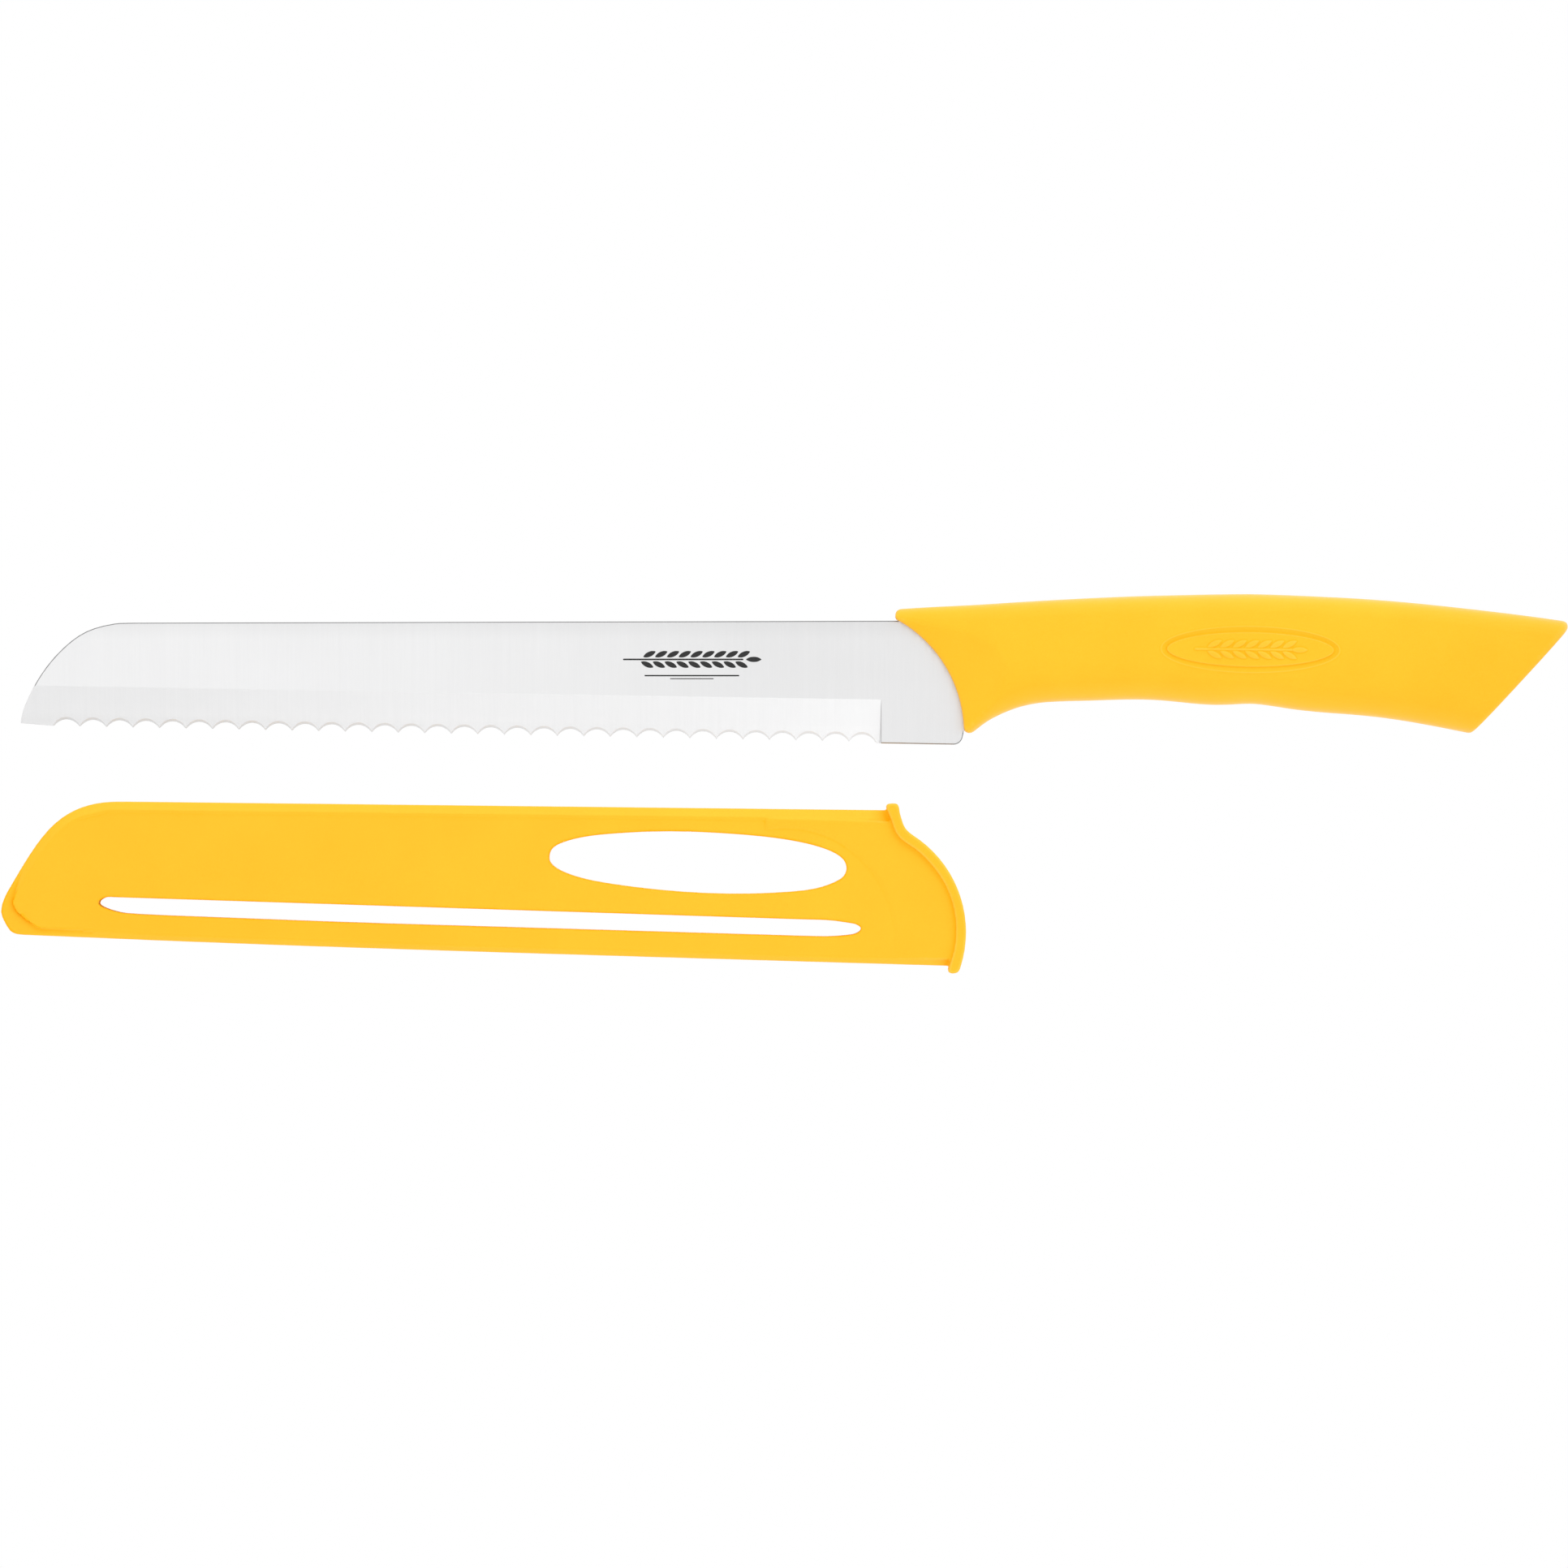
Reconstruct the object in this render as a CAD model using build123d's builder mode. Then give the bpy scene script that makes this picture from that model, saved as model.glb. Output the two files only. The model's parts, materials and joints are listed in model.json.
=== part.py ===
# Bread knife with a slide-on blade sheath.
#
# Frame: +X runs from the blade's tip to the handle's butt, +Z from the cutting edge to the
# spine, Y across the blade. The origin is on the blade's mid-plane, on the heel just in front
# of the handle. The ground side of the edge faces -Y.
# The knife is a stainless blade with a hidden tang, a hard core moulded round the tang and a
# soft grip moulded over the core. The sheath is one moulding. It lies below the blade, as it
# does once it has been drawn off and laid down.
# Outlines are (x, z) points and lengths are millimetres, unless a comment says otherwise.
from build123d import *

import math
import os

os.makedirs("parts", exist_ok=True)

# ---------------------------------------------------------------- blade sizes
blade_half = 0.90  # half thickness of the ground blade
stock_half = 0.95  # half thickness of the strip it is cut from, left on the tang
tip_curve = [
    (-175.12, -8.0), (-173.6, -3.04), (-170.1, 2.9), (-165.92, 7.45),
    (-161.3, 10.4), (-156.6, 11.6), (-152.6, 11.77),
]
tip_tangents = ((0.08, 1), (1, 0.003))
spine_end = (1.0, 12.17)
neck_top = (6.5, 10.6)  # between the spine and the tang
tang_shoulder_x = 16.0
tang_shoulder_rise = 0.3  # of the tang's top there, above its far end
tang_end_x = 92.0
tang_top_z = 9.4
tang_bottom_z = 0.9
tang_corner = (4, 2.8)  # length and height cut off the tang's end corners
tang_root_x = 20.0
heel_back = [(13.6, -3.4), (11.75, -7.0), (10.86, -9.4)]  # from the tang down to the heel
tang_hole_r = 2.6
tang_hole_x = (36.0, 56.0, 76.0)
heel_corner = (10.2, -12.26)
heel_corner_r = 1.8
heel_front_z = -11.97
edge_left = (-163.49, -8.80)  # first cusp of the scalloped edge
edge_right = (-11.84, -11.65)  # last cusp
edge_run_on = (3, -0.25)  # from the last cusp towards the heel
tip_low = (-168.38, -8.55)
scallop_count = 31
scallop_depth = 1.5
scallop_lean = 30.0  # degrees the scallop wheel leans, which leaves a narrow second bevel
grind_left = (-157.28, -0.85)  # upper limit of the ground zone
grind_right = (-5.84, -3.36)
grind_slope = 0.165  # depth gained per millimetre below that limit
grind_width = 14  # of the cutter, from that limit down past the edge
grind_outer_y = -4
step_x = -5.45  # where the grind stops, at the front face
step_lean = 17.0  # degrees
edge_break = 0.18
broken_edge_points = ((-80, 11.97), (-168, 5.3), (2, -12.1))  # on the spine, tip and heel

# ---------------------------------------------------------------- handle sizes
front_centre = Vector(-14.72, -9.96)  # centre of the arc where blade and handle meet
front_r = 25.5
blade_face_gap = 0.1  # between the blade's ground faces and that arc
nub_x = -2.68  # foremost point of the handle, above the spine
front_half = 3.3  # half thickness of the handle at that arc
front_slope = 0.335  # how fast the side faces open out behind it
front_reach = 24  # radial length of that opening
nose_round = 1.1  # of the nose above the spine
nose_top_z = 14.48
nose_low_round = 0.7
chin_round = 1.2  # of the handle's foremost lower corner
butt_low = (110.85, -9.95)
butt_high = (130.87, 11.7)
butt_round = 1.1
handle_cut = 20  # reach of the handle's cutters to each side
squareness = 2.5  # exponent of the handle's superellipse sections
section_points = 24
# x, top z, bottom z, half thickness
handle_stations = [
    (-7.0, 14.08, -17.5, 5.3),
    (0.0, 14.57, -16.9, 5.7),
    (6.0, 14.93, -15.0, 6.1),
    (10.0, 15.12, -12.0, 6.4),
    (12.7, 15.26, -9.7, 6.55),
    (15.3, 15.42, -7.73, 6.7),
    (19.7, 15.71, -5.53, 6.95),
    (24.0, 15.98, -4.28, 7.15),
    (30.0, 16.32, -3.7, 7.4),
    (38.0, 16.72, -3.48, 7.7),
    (50.0, 17.14, -3.53, 7.95),
    (63.0, 17.38, -4.34, 8.1),
    (76.0, 17.13, -5.28, 8.1),
    (89.2, 16.47, -6.47, 7.95),
    (98.0, 15.78, -7.6, 7.85),
    (108.3, 14.72, -9.52, 7.75),
    (120.0, 13.34, -12.3, 7.65),
    (133.0, 11.45, -15.7, 7.6),
]
chin_stations_x = (10.0, 12.7)  # the chin lies between these two
core_from_x = 19.7
core_to_x = 108.3
skin_side = 2.2  # grip thickness at the sides
skin_edge = 2.4  # grip thickness at the top and the bottom
relief_rise = 0.18
relief_base_y = -7.2  # inside the grip's -Y side
oval_centre = (66.9, 6.4)
oval_outer = (17.1, 4.48)
oval_rim = 0.9
oval_turn = -0.6  # degrees
stem_width = 0.45
stem_overrun = 0.6  # in grain pitches, past the pairs at each end
end_grain_overrun = 0.55  # in grain pitches
grain_pairs = 6
grain_pitch = 2.3
grain_size = (1.45, 0.52)
grain_turn = 24.0  # degrees
grain_shift = 0.6  # of the pairs along the stem
grain_offset = 0.92  # of each grain from the stem's middle

# ---------------------------------------------------------------- sheath sizes
# The sheath's own frame is the knife's frame when the sheath is on. laid_down and laid_turn
# carry it to where it lies.
laid_down = (1.2, -40.5)
laid_turn = 0.8  # degrees
sheath_half = 2.9
sheath_tip_upper = [
    (-155.5, 14.86), (-160.25, 14.62), (-165.5, 13.12),
    (-170.64, 9.3), (-174.66, 3.85), (-178.36, -2.5),
]
sheath_tip_lower = [
    (-178.36, -2.5), (-179.64, -5.29), (-179.93, -7.2), (-178.75, -10.0), (-175.45, -11.66),
]
sheath_bottom = [
    (-175.45, -11.66), (-154.74, -12.24), (-100.2, -13.48), (-50.0, -14.33), (14.0, -15.34),
]
sheath_top_right = (14.0, 15.31)
# directions of the outline where its curves begin and end
upper_start = (-1, -0.003)
tip_direction = (-0.5, -0.866)
bottom_start = (1, -0.026)
bottom_end = (1, -0.016)
panel_edge = [
    (-172.6, -15.0), (-176.78, -9.0), (-177.4, -5.6), (-176.56, -2.3), (-172.92, 3.85),
    (-169.1, 8.4), (-164.6, 11.42), (-159.85, 12.72), (-155.3, 12.96),
]
panel_end = (30.0, 13.37)
panel_low_z = -25.0
panel_low_run = 3
rim_width = 1.9
rim_drop = 0.95
bottom_round = 1.0
panel_depth = 0.25
# (y, z) section of the panel cutter on the -Y side
panel_section = [
    (-sheath_half + panel_depth, 13.3),
    (-sheath_half, -13.5),
    (-sheath_half - 1, -26),
    (-9, -26),
    (-9, 20),
    (-sheath_half + panel_depth, 20),
]
flare_from_x = -29.5
flare_half = 3.75
flare_centre = (-25.53, -10.04)
flare_r = 21.35
flare_step = 0.28
flare_step_run = 0.45
flare_slope = 0.06
flare_reach = 40  # radial length of the shallow rise
flare_run_in = 14.0
flare_gap = 0.03  # by which the flare's outline lies inside the pocket's
flare_low_inset = 0.35  # of the flare's full height inside the pocket's own height
flare_high_inset = 0.45
cavity_half = 1.3
cavity_profile = [
    (-176.6, -9.1), (-175.2, -3.4), (-171.6, 3.2), (-167.2, 8.2), (-162.4, 11.5),
    (-157.0, 12.72), (20.0, 13.05), (20.0, -13.1), (-6.0, -12.75), (-168.0, -9.4),
]
lip_half = 4.35
lip_outer_top = [(-3.4, 15.6), (-2.89, 13.47), (-2.21, 11.88), (-1.0, 10.68), (0.72, 9.52)]
lip_outer_centre = (-12.5, -8.85)
lip_outer_r = 22.6
lip_arc_middle = (0.98, 0.199)  # direction of the arc's middle point from its centre
lip_outer_end = (9.1, -15.42)
lip_low_point = (8.05, -16.63)
lip_high_point = (-4.7, 16.63)
lip_inner = [
    (6.75, -15.9), (7.62, -12.66), (8.06, -9.5), (7.95, -6.0), (7.22, -2.58),
    (5.91, 0.62), (4.02, 3.52), (1.85, 5.97), (-0.3, 7.8), (-2.5, 9.25),
    (-4.1, 11.1), (-5.05, 13.7), (-5.9, 15.75),
]
lip_outer_start_direction = (0.1, -1)
lip_inner_start_direction = (0.2, 0.98)
lip_inner_end_direction = (-0.3, 0.954)
lip_overlap = 0.8  # of the lip over the pocket's trimmed end
sheath_cut = 12  # reach of the sheath's cutters to each side
oval_window = [
    (-72.2, 5.0), (-71.45, 6.96), (-69.6, 8.0), (-65.3, 9.18), (-60.0, 9.87),
    (-48.5, 10.5), (-36.0, 10.17), (-25.0, 9.12), (-18.25, 7.61), (-15.63, 6.51),
    (-14.0, 5.1), (-13.55, 3.7), (-14.0, 2.3), (-15.79, 0.98), (-18.36, -0.03),
    (-25.0, -1.11), (-36.0, -1.62), (-48.5, -1.19), (-60.0, 0.02), (-67.3, 1.5),
    (-69.4, 2.27), (-71.35, 3.4),
]
slot_window_left = [
    (-155.3, -7.14), (-158.1, -6.6), (-159.75, -6.02),
    (-160.8, -5.15), (-160.0, -4.3), (-157.5, -3.98),
]
slot_window_right = [
    (-22.0, -6.46), (-15.5, -6.68), (-12.74, -7.05), (-11.3, -7.4), (-10.55, -8.2),
    (-11.3, -8.98), (-12.73, -9.38), (-15.5, -9.68), (-22.0, -9.74),
]
slot_window_low = [
    (-22.0, -9.74), (-45.0, -9.38), (-80.0, -8.82),
    (-120.0, -8.12), (-140.0, -7.62), (-155.3, -7.14),
]
# directions of the slot's outline where its curves meet
slot_left_start = (-1, 0.06)
slot_top = (1, -0.018)
slot_low_start = (-1, 0.016)

# ================================================================ blade
tang_middle_z = (tang_top_z + tang_bottom_z) / 2

with BuildPart() as blade:
    with BuildSketch(Plane.XZ):
        with BuildLine():
            Spline(*tip_curve, tangents=tip_tangents)
            Line(tip_curve[-1], spine_end)
            Polyline(
                spine_end,
                neck_top,
                (tang_shoulder_x, tang_top_z + tang_shoulder_rise),
                (tang_end_x - tang_corner[0], tang_top_z),
                (tang_end_x, tang_top_z - tang_corner[1]),
                (tang_end_x, tang_bottom_z + tang_corner[1]),
                (tang_end_x - tang_corner[0], tang_bottom_z),
                (tang_root_x, tang_bottom_z),
                *heel_back,
                heel_corner,
                (step_x, heel_front_z),
                (edge_right[0] + edge_run_on[0], edge_right[1] + edge_run_on[1]),
                tip_low,
                tip_curve[0],
            )
        make_face()
    extrude(amount=stock_half, both=True)
    # both faces are ground a little below the strip's own surface, as far as the handle
    for side in (1, -1):
        with BuildSketch(Plane.XZ.offset(side * blade_half)):
            with Locations(front_centre):
                Circle(front_r - blade_face_gap)
            with Locations((front_centre.X - 120, 0)):
                Rectangle(240, 80)
        extrude(amount=side, mode=Mode.SUBTRACT)
    heel = blade.edges().filter_by(Axis.Y).sort_by_distance((heel_corner[0], 0, heel_corner[1]))[0]
    fillet(heel, radius=heel_corner_r)
    broken_edges = [
        blade.edges().sort_by_distance((x, y, z))[0]
        for y in (-blade_half, blade_half)
        for x, z in broken_edge_points
    ]
    chamfer(broken_edges, length=edge_break)
    with BuildSketch(Plane.XZ):
        with Locations(*[(x, tang_middle_z) for x in tang_hole_x]):
            Circle(tang_hole_r)
    extrude(amount=5, both=True, mode=Mode.SUBTRACT)

# one-sided grind, stopped by a leaning step in front of the heel
grind_start = Vector(grind_right[0], 0, grind_right[1])
grind_dir = (Vector(grind_left[0], 0, grind_left[1]) - grind_start).normalized()
grind_plane = Plane(
    origin=grind_start - grind_dir * 12,  # begins behind the step
    x_dir=(0, 1, 0),
    z_dir=grind_dir,
)
step_reach = 3  # of the step's cutter to each side of the front face
step_run = step_reach * math.tan(math.radians(step_lean))

with BuildPart() as grind:
    with BuildSketch(grind_plane):
        with BuildLine():
            Polyline(
                (-blade_half, 0),
                (-blade_half + grind_width * grind_slope, grind_width),
                (grind_outer_y, grind_width),
                (grind_outer_y, 0),
                close=True,
            )
        make_face()
    extrude(amount=200)
    with BuildSketch(Plane.XY.offset(-30)):
        with BuildLine():
            Polyline(
                (step_x + step_run, -blade_half - step_reach),
                (step_x - step_run, -blade_half + step_reach),
                (40, -blade_half + step_reach),
                (40, -blade_half - step_reach),
                close=True,
            )
        make_face()
    extrude(amount=60, mode=Mode.SUBTRACT)

# row of leaning cylinders, one for each scallop
lean = math.radians(scallop_lean)
scallop_pitch = math.dist(edge_left, edge_right) / (scallop_count - 2)
scallop_sag = scallop_depth * math.cos(lean)
scallop_r = ((scallop_pitch / 2) ** 2 + scallop_sag**2) / (2 * scallop_sag)
scallop_plane = Plane(
    origin=(edge_left[0], blade_half, edge_left[1]),
    x_dir=Vector(edge_right[0] - edge_left[0], 0, edge_right[1] - edge_left[1]).normalized(),
    z_dir=(0, -math.cos(lean), math.sin(lean)),
)

with BuildPart() as scallops:
    with BuildSketch(scallop_plane):
        with Locations(
            *[((i - 0.5) * scallop_pitch, scallop_sag - scallop_r) for i in range(scallop_count)]
        ):
            Circle(scallop_r)
    extrude(amount=3, both=True)

with blade:
    add(grind.part, mode=Mode.SUBTRACT)
    add(scallops.part, mode=Mode.SUBTRACT)


# ================================================================ handle
def superellipse_power(value):
    """A sine or cosine bent so that the section is a superellipse."""
    return math.copysign(abs(value) ** (2 / squareness), value)


def loft_handle(stations, side_growth, edge_growth):
    """Loft through the stations, grown at the sides and at the top and bottom."""
    angles = [2 * math.pi * (k + 0.5) / section_points for k in range(section_points)]
    with BuildPart() as envelope:
        for x, top, bottom, half in stations:
            middle = (top + bottom) / 2
            half_width = half + side_growth
            half_height = (top - bottom) / 2 + edge_growth
            with BuildSketch(Plane.YZ.offset(x)):
                with BuildLine():
                    Spline(
                        *[
                            (
                                half_width * superellipse_power(math.cos(angle)),
                                middle + half_height * superellipse_power(math.sin(angle)),
                            )
                            for angle in angles
                        ],
                        periodic=True,
                    )
                make_face()
        loft()
    return envelope.part


def touch_front_arc(centre, radius):
    """Point where a circle outside the front arc touches it."""
    return front_centre + (centre - front_centre) * (front_r / (front_r + radius))


core_stations = [station for station in handle_stations if core_from_x <= station[0] <= core_to_x]
full_envelope = loft_handle(handle_stations, 0, 0)
core_envelope = loft_handle(core_stations, -skin_side, -skin_edge)
relief_envelope = loft_handle(core_stations, relief_rise, relief_rise)

# the chin's rounding touches the front arc and the handle's lower line there
chin_low, chin_high = [
    Vector(x, bottom) for x, top, bottom, half in handle_stations if x in chin_stations_x
]
chin_run = (chin_high - chin_low).normalized()
chin_up = Vector(-chin_run.Y, chin_run.X)
chin_base = chin_low + chin_up * chin_round - front_centre
chin_dot = chin_base.dot(chin_run)
chin_reach = -chin_dot + math.sqrt(
    chin_dot**2 + (front_r + chin_round) ** 2 - chin_base.dot(chin_base)
)
chin_centre = front_centre + chin_base + chin_run * chin_reach
chin_front = touch_front_arc(chin_centre, chin_round)
chin_below = chin_centre - chin_up * chin_round

# the nose's lower rounding touches the front arc and the nose's foremost plane
nose_low_x = nub_x + nose_low_round
nose_low_centre = Vector(
    nose_low_x,
    front_centre.Y
    + math.sqrt((front_r + nose_low_round) ** 2 - (nose_low_x - front_centre.X) ** 2),
)
nose_touch = touch_front_arc(nose_low_centre, nose_low_round)

butt_dx = butt_high[0] - butt_low[0]
butt_dz = butt_high[1] - butt_low[1]
nose_block = 6  # side of the square cutter above the nose

with BuildPart() as outer:
    add(full_envelope)
    # butt: one slanting plane
    with BuildSketch(Plane.XZ):
        with BuildLine():
            Polyline(
                (butt_low[0] - butt_dx / 2, butt_low[1] - butt_dz / 2),
                (butt_high[0] + butt_dx / 2, butt_high[1] + butt_dz / 2),
                (160, butt_high[1] + butt_dz / 2),
                (160, butt_low[1] - butt_dz / 2),
                close=True,
            )
        make_face()
    extrude(amount=handle_cut, both=True, mode=Mode.SUBTRACT)
    # front: the arc that the blade's heel runs into, and the short nose above the spine
    with BuildSketch(Plane.XZ):
        with Locations(front_centre):
            Circle(front_r)
        with Locations((nub_x - 20, 0)):
            Rectangle(40, 60)
    extrude(amount=handle_cut, both=True, mode=Mode.SUBTRACT)
    # the sides open out behind the arc as two shallow cones
    for side in (-1, 1):
        for reach in (0, front_reach):
            with BuildSketch(Plane.XZ.offset(side * (front_half + reach * front_slope))):
                with Locations(front_centre):
                    Circle(front_r + reach)
        loft(ruled=True, mode=Mode.SUBTRACT)
    butt_face = outer.faces().sort_by_distance(
        ((butt_low[0] + butt_high[0]) / 2, 0, (butt_low[1] + butt_high[1]) / 2)
    )[0]
    fillet(butt_face.edges(), radius=butt_round)
    # the corner at the lower end of the arc is rounded
    with BuildSketch(Plane.XZ):
        with BuildLine():
            Polyline(
                chin_centre,
                chin_front,
                (chin_front.X - 2, chin_front.Y),
                (chin_front.X - 2, chin_front.Y - 7),
                chin_below - chin_up * 3,
                chin_below,
                close=True,
            )
        make_face()
        with Locations(chin_centre):
            Circle(chin_round, mode=Mode.SUBTRACT)
    extrude(amount=handle_cut, both=True, mode=Mode.SUBTRACT)
    # and so is the nose, above and below
    with BuildSketch(Plane.XZ):
        with Locations(
            (nub_x + nose_round - nose_block / 2, nose_top_z - nose_round + nose_block / 2)
        ):
            Rectangle(nose_block, nose_block)
        with Locations((nub_x + nose_round, nose_top_z - nose_round)):
            Circle(nose_round, mode=Mode.SUBTRACT)
    extrude(amount=handle_cut, both=True, mode=Mode.SUBTRACT)
    with BuildSketch(Plane.XZ):
        with BuildLine():
            Polyline(
                (nub_x - 1, nose_low_centre.Y),
                nose_low_centre,
                nose_touch,
                (nose_touch.X - 0.1, nose_touch.Y - 0.4),
                (nub_x - 1, nose_touch.Y - 0.4),
                close=True,
            )
        make_face()
        with Locations(nose_low_centre):
            Circle(nose_low_round, mode=Mode.SUBTRACT)
    extrude(amount=handle_cut, both=True, mode=Mode.SUBTRACT)

# raised oval rim with a plain ear of grain in it, following the side of the handle
oval_angle = math.radians(oval_turn)
oval_plane = Plane(
    origin=(oval_centre[0], relief_base_y, oval_centre[1]),
    x_dir=(math.cos(oval_angle), 0, math.sin(oval_angle)),
    z_dir=(0, -1, 0),
)

with BuildPart() as relief:
    add(relief_envelope)
    with BuildSketch(oval_plane):
        Ellipse(oval_outer[0], oval_outer[1])
        Ellipse(oval_outer[0] - oval_rim, oval_outer[1] - oval_rim, mode=Mode.SUBTRACT)
        Rectangle(2 * grain_pitch * (grain_pairs / 2 + stem_overrun), stem_width)
        with Locations(((grain_pairs / 2 + end_grain_overrun) * grain_pitch, 0)):
            Ellipse(*grain_size)
        for side in (-1, 1):
            with Locations(
                *[
                    Location(
                        (
                            (i - (grain_pairs - 1) / 2) * grain_pitch + grain_shift,
                            side * grain_offset,
                        ),
                        side * grain_turn,
                    )
                    for i in range(grain_pairs)
                ]
            ):
                Ellipse(*grain_size)
    extrude(amount=6, mode=Mode.INTERSECT)

with BuildPart() as handle_core:
    add(core_envelope)
    add(blade.part, mode=Mode.SUBTRACT)

with BuildPart() as handle_grip:
    add(outer.part)
    add(relief.part)
    add(core_envelope, mode=Mode.SUBTRACT)
    add(blade.part, mode=Mode.SUBTRACT)

# ================================================================ sheath
tilt = math.radians(laid_turn)
sheath_x = Vector(math.cos(tilt), 0, -math.sin(tilt))
sheath_origin = Vector(laid_down[0], 0, laid_down[1])
# side view of the sheath, seen from -Y, and a section square to its length
sheath_side = Plane(origin=sheath_origin, x_dir=sheath_x, z_dir=(0, -1, 0))
sheath_section = Plane(origin=sheath_origin, x_dir=(0, 1, 0), z_dir=sheath_x)


def inset(points, start, end, near, far):
    """Points of a curve moved square to it, by near at its start and by far at its end.

    start and end are its end directions.
    """
    last = len(points) - 1
    moved = []
    for i, (x, z) in enumerate(points):
        if i == 0:
            direction = Vector(*start)
        elif i == last:
            direction = Vector(*end)
        else:
            direction = Vector(*points[i + 1]) - Vector(*points[i - 1])
        direction = direction.normalized()
        distance = near + (far - near) * i / last
        moved.append((x - direction.Y * distance, z + direction.X * distance))
    return moved


def draw_pocket_outline(upper, lower, bottom, top_right):
    """Draw the pocket's side outline into the current line builder."""
    Spline(*upper, tangents=(upper_start, tip_direction))
    Spline(*lower, tangents=(tip_direction, bottom_start))
    Spline(*bottom, tangents=(bottom_start, bottom_end))
    Polyline(bottom[-1], top_right, upper[0])


def height_at(x, start, end):
    """z at x on the straight line through two points."""
    return start[1] + (end[1] - start[1]) * ((x - start[0]) / (end[0] - start[0]))


pocket_outline = (sheath_tip_upper, sheath_tip_lower, sheath_bottom, sheath_top_right)
rim_outline = (
    inset(sheath_tip_upper, upper_start, tip_direction, rim_width, rim_width),
    inset(sheath_tip_lower, tip_direction, bottom_start, rim_width, bottom_round),
    inset(sheath_bottom, bottom_start, bottom_end, bottom_round, bottom_round),
    (sheath_top_right[0], sheath_top_right[1] - rim_width),
)

# recess of the flat panel: deepest along the spine side, running out towards the edge side
with BuildPart() as panel:
    with BuildSketch(sheath_side):
        with BuildLine():
            Spline(*panel_edge, tangents=((-0.3, 1), (1, 0.003)))
            Polyline(
                panel_edge[-1],
                panel_end,
                (panel_end[0], panel_low_z),
                (panel_edge[0][0] + panel_low_run, panel_low_z),
                panel_edge[0],
            )
        make_face()
    extrude(amount=8)
    with BuildSketch(sheath_section.offset(-190)):
        with BuildLine():
            Polyline(*panel_section, close=True)
        make_face()
    extrude(amount=240, mode=Mode.INTERSECT)

# the pocket's body, with its rim and recessed panels
bevel_base = sheath_half - rim_drop

with BuildPart() as pocket:
    with BuildSketch(sheath_side):
        with BuildLine():
            draw_pocket_outline(*pocket_outline)
        make_face()
    extrude(amount=bevel_base, both=True)
    # bevelled on both faces: wide along the spine side and round the tip, narrow along the
    # edge side
    for side in (-1, 1):
        for height, outline in ((bevel_base, pocket_outline), (sheath_half, rim_outline)):
            with BuildSketch(sheath_side.offset(side * height)):
                with BuildLine():
                    draw_pocket_outline(*outline)
                make_face()
        loft(ruled=True)
    add(panel.part, mode=Mode.SUBTRACT)
    add(mirror(panel.part, about=Plane.XZ), mode=Mode.SUBTRACT)

# the flare's outline, a hair inside the pocket's; the same at the pocket's own height; and at
# the flare's full height, where its end towards the tip is drawn back so that it has no edge
# of its own there
flare_outline = [
    (flare_from_x, height_at(flare_from_x, *sheath_bottom[-2:]) + flare_gap),
    (sheath_bottom[-1][0], sheath_bottom[-1][1] + flare_gap),
    (sheath_top_right[0], sheath_top_right[1] - flare_gap),
    (flare_from_x, height_at(flare_from_x, sheath_tip_upper[0], sheath_top_right) - flare_gap),
]
flare_middle = [(x, z + (bottom_round if z < 0 else -rim_width)) for x, z in flare_outline]
flare_top = [
    (
        x + (flare_run_in if x == flare_from_x else 0),
        z + (flare_low_inset if z < 0 else -flare_high_inset),
    )
    for x, z in flare_middle
]
flare_levels = [(bevel_base, flare_outline), (sheath_half, flare_middle), (flare_half, flare_top)]
# half thickness and radius: a short steep step first, then a long shallow rise
panel_half = sheath_half - panel_depth
dish_levels = [
    (panel_half, flare_r),
    (panel_half + flare_step, flare_r + flare_step_run),
    (
        panel_half + flare_step + flare_reach * flare_slope,
        flare_r + flare_step_run + flare_reach,
    ),
]

# the mouth end, which swells outwards from an arc in the panel
with BuildPart() as flare:
    with BuildSketch(sheath_side):
        with BuildLine():
            Polyline(*flare_outline, close=True)
        make_face()
    extrude(amount=bevel_base, both=True)
    # the pocket's bevels carry on, and steeper ones take the flare up to its own height
    for side in (-1, 1):
        for level_pair in zip(flare_levels, flare_levels[1:]):
            for height, outline in level_pair:
                with BuildSketch(sheath_side.offset(side * height)):
                    with BuildLine():
                        Polyline(*outline, close=True)
                    make_face()
            loft(ruled=True)
    for side in (-1, 1):
        for level_pair in zip(dish_levels, dish_levels[1:]):
            for height, radius in level_pair:
                with BuildSketch(sheath_side.offset(side * height)):
                    with Locations(flare_centre):
                        Circle(radius)
            loft(ruled=True, mode=Mode.SUBTRACT)


# lip round the mouth
lip_arm = (lip_outer_top[-1][0] - lip_outer_centre[0], lip_outer_top[-1][1] - lip_outer_centre[1])


def draw_mouth_line(setback):
    """Draw the lip's outer line, moved towards the tip, into the current line builder."""
    top = [(x - setback, z) for x, z in lip_outer_top]
    Spline(*top, tangents=(lip_outer_start_direction, (lip_arm[1], -lip_arm[0])))
    ThreePointArc(
        top[-1],
        (
            lip_outer_centre[0] + lip_outer_r * lip_arc_middle[0] - setback,
            lip_outer_centre[1] + lip_outer_r * lip_arc_middle[1],
        ),
        (lip_outer_end[0] - setback, lip_outer_end[1]),
    )


with BuildPart() as lip:
    with BuildSketch(sheath_side):
        with BuildLine():
            draw_mouth_line(0)
            Spline(
                lip_outer_end,
                lip_low_point,
                lip_inner[0],
                tangents=((-0.29, -0.956), lip_inner_start_direction),
            )
            Spline(*lip_inner, tangents=(lip_inner_start_direction, lip_inner_end_direction))
            Spline(
                lip_inner[-1],
                lip_high_point,
                lip_outer_top[0],
                tangents=(lip_inner_end_direction, lip_outer_start_direction),
            )
        make_face()
    extrude(amount=lip_half, both=True)

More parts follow.
